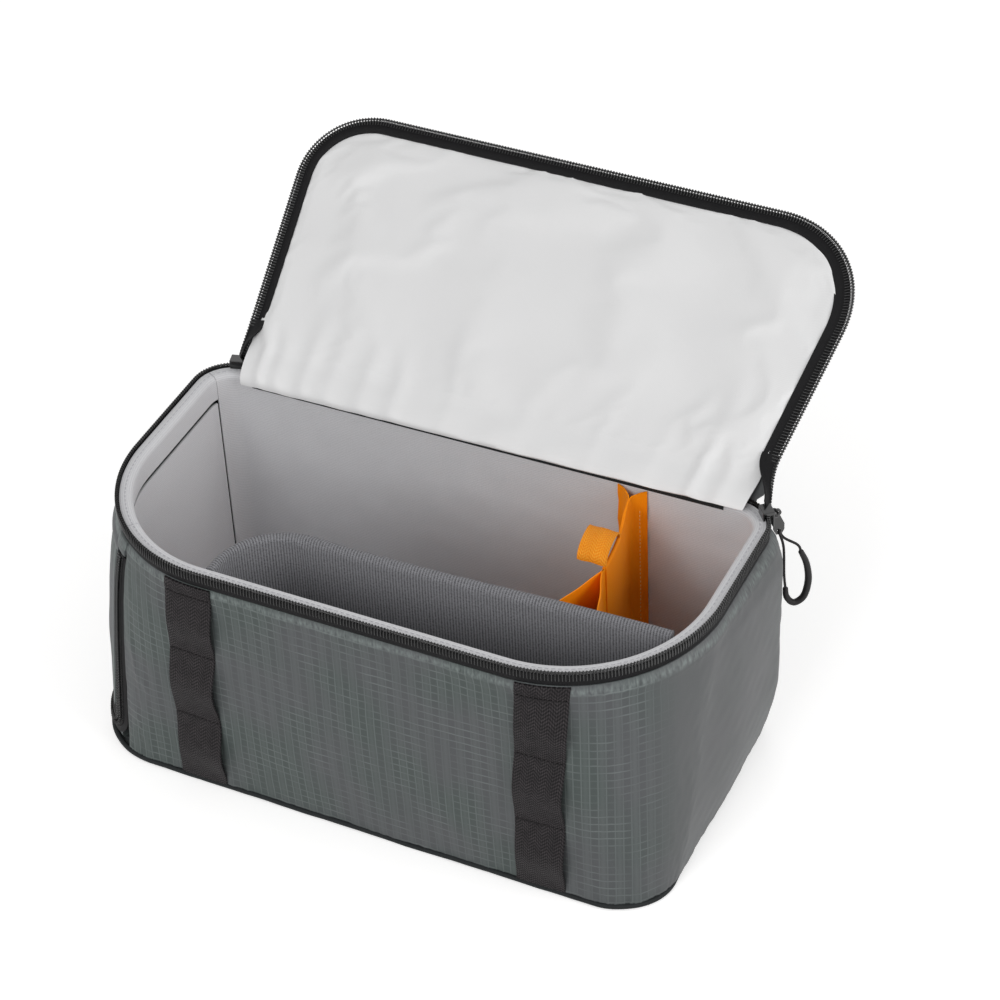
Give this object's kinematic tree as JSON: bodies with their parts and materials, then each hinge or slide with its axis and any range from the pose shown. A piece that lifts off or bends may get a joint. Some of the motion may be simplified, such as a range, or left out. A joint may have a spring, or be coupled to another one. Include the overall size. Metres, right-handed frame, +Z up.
{
  "type": "camera bag insert",
  "caption": "Padded camera bag insert with a zipped hinged lid, a zipped end door, front webbing bars and lift-out padded dividers.",
  "frame": {"origin": "on the surface that the insert stands on, under the middle of its box", "axes": "+X along the long front side towards the right end, +Y towards the hinged back, +Z up"},
  "size_m": [0.4098, 0.3462, 0.2482],
  "materials": {
    "ripstop": "woven nylon with a fine lighter grid, slight sheen",
    "lining": "brushed light grey loop cloth",
    "satin": "smooth pale grey lining cloth",
    "foam": "foam padding between the cloths",
    "zip_tape": "black woven zip tape",
    "zip_coil": "black nylon coil",
    "webbing": "dark ribbed webbing",
    "charcoal": "charcoal heather loop cloth over padding",
    "orange": "orange brushed cloth and webbing",
    "slider_metal": "glossy black enamel",
    "cord": "thin black braided cord",
    "rubber": "black moulded rubber"
  },
  "bodies": {
    "shell": {"outer_skin": "ripstop", "left_end_strip": "ripstop", "base_skin": "ripstop", "base_piping": "zip_tape", "base_board": "foam", "floor_lining": "lining", "front_foam": "foam", "front_right_corner_foam": "foam", "right_end_foam": "foam", "back_right_corner_foam": "foam", "back_foam": "foam", "back_left_foam_post": "foam", "front_left_foam_post": "foam", "left_top_foam": "foam", "door_sill": "lining", "wall_lining": "lining", "left_top_lining": "lining", "rim_facing": "lining", "rim_zip_tape": "zip_tape", "rim_zip_coil": "zip_coil", "back_hinge_strip": "ripstop", "lid_hinge_seam": "zip_tape", "left_webbing_bar": "webbing", "right_webbing_bar": "webbing", "frame_zip_tape": "zip_tape", "frame_zip_coil": "zip_coil", "door_hinge_seam": "ripstop", "zip_garage": "ripstop"},
    "lid": {"lid_skin": "ripstop", "lid_foam": "foam", "lid_lining": "satin", "lid_zip_tape": "zip_tape", "lid_zip_coil": "zip_coil", "lid_hinge_strip": "ripstop"},
    "end_door": {"door_skin": "ripstop", "door_foam": "foam", "door_lining": "lining", "door_zip_tape": "zip_tape", "door_zip_coil": "zip_coil"},
    "left_zip_slider": {"left_slider": "slider_metal"},
    "left_zip_pull": {"left_pull_tab": "slider_metal", "left_pull_cord": "cord", "left_pull_grip": "rubber"},
    "right_zip_slider": {"right_slider": "slider_metal"},
    "right_zip_pull": {"right_pull_tab": "slider_metal", "right_pull_cord": "cord", "right_pull_grip": "rubber"},
    "door_zip_slider": {"door_slider": "slider_metal"},
    "door_zip_pull": {"door_pull_tab": "slider_metal", "door_pull_cord": "cord", "door_pull_grip": "rubber"},
    "padded_divider": {"long_divider": "charcoal", "long_divider_left_tab": "charcoal", "long_divider_right_tab": "charcoal"},
    "orange_divider": {"cross_divider": "orange", "cross_divider_back_fork": "orange", "cross_divider_front_fork": "orange", "cross_divider_pull_loop": "orange"}
  },
  "joints": [
    {"name": "lid_hinge", "type": "hinge", "parent": "shell", "child": "lid", "pos_m": [0, 0.0895, 0.1615], "axis": [-1, 0, 0], "range_deg": [-151, 34]},
    {"name": "end_door_hinge", "type": "hinge", "parent": "shell", "child": "end_door", "pos_m": [-0.1845, 0.03, 0.14], "axis": [0, 1, 0], "range_deg": [0, 110]},
    {"name": "left_slider_travel", "type": "hinge", "parent": "shell", "child": "left_zip_slider", "pos_m": [-0.161, 0.066, 0.1588], "axis": [0, 0, 1], "range_deg": [0, 25]},
    {"name": "left_pull_swing", "type": "hinge", "parent": "left_zip_slider", "child": "left_zip_pull", "pos_m": [-0.16871, 0.09478, 0.1588], "axis": [0.9659, 0.2588, 0], "range_deg": [-6, 80]},
    {"name": "right_slider_travel", "type": "hinge", "parent": "shell", "child": "right_zip_slider", "pos_m": [0.161, 0.066, 0.1588], "axis": [0, 0, 1], "range_deg": [-35, 20]},
    {"name": "right_pull_swing", "type": "hinge", "parent": "right_zip_slider", "child": "right_zip_pull", "pos_m": [0.18383, 0.08515, 0.1588], "axis": [0.6428, -0.766, 0], "range_deg": [0, 100]},
    {"name": "door_slider_travel", "type": "slide", "parent": "shell", "child": "door_zip_slider", "axis": [0, 0, -1], "range_m": [0, 0.06]},
    {"name": "door_pull_swing", "type": "hinge", "parent": "door_zip_slider", "child": "door_zip_pull", "pos_m": [-0.18889, 0.07976, 0.1497], "axis": [0.4425, 0.8968, 0], "range_deg": [-6, 110]},
    {"name": "padded_divider_lift", "type": "slide", "parent": "shell", "child": "padded_divider", "axis": [0, 0, 1], "range_m": [0, 0.16]},
    {"name": "orange_divider_lift", "type": "slide", "parent": "shell", "child": "orange_divider", "axis": [0, 0, 1], "range_m": [0, 0.16]}
  ]
}
